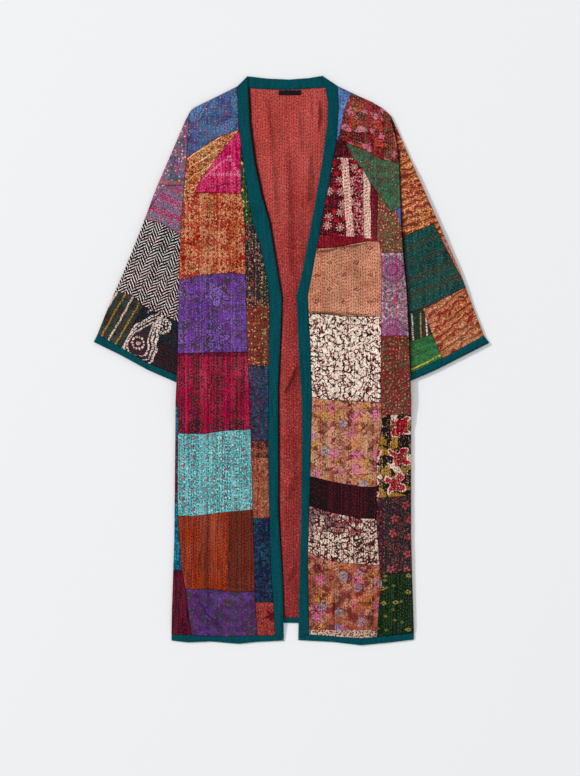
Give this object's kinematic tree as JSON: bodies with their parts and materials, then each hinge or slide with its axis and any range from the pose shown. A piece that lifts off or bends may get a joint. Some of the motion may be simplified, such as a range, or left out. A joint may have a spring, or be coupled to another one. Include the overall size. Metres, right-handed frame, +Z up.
{
  "type": "kimono coat",
  "caption": "Open-front patchwork kimono coat in hand-quilted cotton, laid flat and face up, with wide three-quarter sleeves and a plain contrasting band, cuffs and hem.",
  "frame": {"origin": "on the surface that the coat lies on, under the middle of its outline", "axes": "+X towards the wearer's left sleeve, +Y from hem to neck, +Z up out of the surface"},
  "size_m": [0.8296, 1.1956, 0.0124],
  "materials": {
    "lining": "matt hand-quilted cotton",
    "teal_binding": "matt hand-quilted cotton",
    "label_black": "matt woven tape",
    "cloth_blue_paisley": "matt hand-quilted cotton",
    "cloth_apricot_floral": "matt hand-quilted cotton",
    "cloth_magenta_dots": "matt hand-quilted cotton",
    "cloth_gold_brocade": "matt hand-quilted cotton",
    "cloth_purple": "matt hand-quilted cotton",
    "cloth_wine_ikat": "matt hand-quilted cotton",
    "cloth_aqua": "matt hand-quilted cotton",
    "cloth_tangerine": "matt hand-quilted cotton",
    "cloth_violet_low": "matt hand-quilted cotton",
    "cloth_side_teal": "matt hand-quilted cotton",
    "cloth_side_burgundy": "matt hand-quilted cotton",
    "cloth_inner_green": "matt hand-quilted cotton",
    "cloth_inner_navy": "matt hand-quilted cotton",
    "cloth_inner_brown": "matt hand-quilted cotton",
    "cloth_inner_violet": "matt hand-quilted cotton",
    "cloth_inner_rust": "matt hand-quilted cotton",
    "cloth_inner_blue": "matt hand-quilted cotton",
    "cloth_inner_brick": "matt hand-quilted cotton",
    "cloth_blue_neck": "matt hand-quilted cotton",
    "cloth_crimson_floral": "matt hand-quilted cotton",
    "cloth_green_gore": "matt hand-quilted cotton",
    "cloth_striped_floral": "matt hand-quilted cotton",
    "cloth_salmon": "matt hand-quilted cotton",
    "cloth_cream_vine": "matt hand-quilted cotton",
    "cloth_peach_print": "matt hand-quilted cotton",
    "cloth_black_bar": "matt hand-quilted cotton",
    "cloth_cream_vine_low": "matt hand-quilted cotton",
    "cloth_peach_low": "matt hand-quilted cotton",
    "cloth_outer_brown": "matt hand-quilted cotton",
    "cloth_violet_rings": "matt hand-quilted cotton",
    "cloth_outer_maroon": "matt hand-quilted cotton",
    "cloth_rose": "matt hand-quilted cotton",
    "cloth_navy_coral": "matt hand-quilted cotton",
    "cloth_forest_dots": "matt hand-quilted cotton",
    "cloth_sleeve_paisley": "matt hand-quilted cotton",
    "cloth_sleeve_stripe": "matt hand-quilted cotton",
    "cloth_herringbone": "matt hand-quilted cotton",
    "cloth_sleeve_green": "matt hand-quilted cotton",
    "cloth_sleeve_black": "matt hand-quilted cotton",
    "cloth_sleeve_pink": "matt hand-quilted cotton",
    "cloth_sleeve_orange": "matt hand-quilted cotton",
    "cloth_sleeve_teal": "matt hand-quilted cotton",
    "cloth_sleeve_bars": "matt hand-quilted cotton",
    "cloth_sleeve_rust": "matt hand-quilted cotton",
    "cloth_sleeve_leaf": "matt hand-quilted cotton"
  },
  "bodies": {
    "root": {"back": "lining", "hem_back": "teal_binding", "neckband_back": "teal_binding", "label": "label_black", "front_right": "lining", "front_left": "lining", "neckband_right": "teal_binding", "neckband_left": "teal_binding", "hem_front_right": "teal_binding", "hem_front_left": "teal_binding", "sleeve_right": "lining", "sleeve_left": "lining", "cuff_right": "teal_binding", "cuff_left": "teal_binding", "patch_blue_paisley": "cloth_blue_paisley", "patch_apricot_floral": "cloth_apricot_floral", "patch_magenta_dots": "cloth_magenta_dots", "patch_gold_brocade": "cloth_gold_brocade", "patch_purple": "cloth_purple", "patch_wine_ikat": "cloth_wine_ikat", "patch_aqua": "cloth_aqua", "patch_tangerine": "cloth_tangerine", "patch_violet_low": "cloth_violet_low", "patch_side_teal": "cloth_side_teal", "patch_side_burgundy": "cloth_side_burgundy", "patch_inner_green": "cloth_inner_green", "patch_inner_navy": "cloth_inner_navy", "patch_inner_brown": "cloth_inner_brown", "patch_inner_violet": "cloth_inner_violet", "patch_inner_rust": "cloth_inner_rust", "patch_inner_blue": "cloth_inner_blue", "patch_inner_brick": "cloth_inner_brick", "patch_blue_neck": "cloth_blue_neck", "patch_crimson_floral": "cloth_crimson_floral", "patch_green_gore": "cloth_green_gore", "patch_striped_floral": "cloth_striped_floral", "patch_salmon": "cloth_salmon", "patch_cream_vine": "cloth_cream_vine", "patch_peach_print": "cloth_peach_print", "patch_black_bar": "cloth_black_bar", "patch_cream_vine_low": "cloth_cream_vine_low", "patch_peach_low": "cloth_peach_low", "patch_outer_brown": "cloth_outer_brown", "patch_violet_rings": "cloth_violet_rings", "patch_outer_maroon": "cloth_outer_maroon", "patch_rose": "cloth_rose", "patch_navy_coral": "cloth_navy_coral", "patch_forest_dots": "cloth_forest_dots", "patch_sleeve_paisley": "cloth_sleeve_paisley", "patch_sleeve_stripe": "cloth_sleeve_stripe", "patch_herringbone": "cloth_herringbone", "patch_sleeve_green": "cloth_sleeve_green", "patch_sleeve_black": "cloth_sleeve_black", "patch_sleeve_pink": "cloth_sleeve_pink", "patch_sleeve_orange": "cloth_sleeve_orange", "patch_sleeve_teal": "cloth_sleeve_teal", "patch_sleeve_bars": "cloth_sleeve_bars", "patch_sleeve_rust": "cloth_sleeve_rust", "patch_sleeve_leaf": "cloth_sleeve_leaf"}
  },
  "joints": []
}
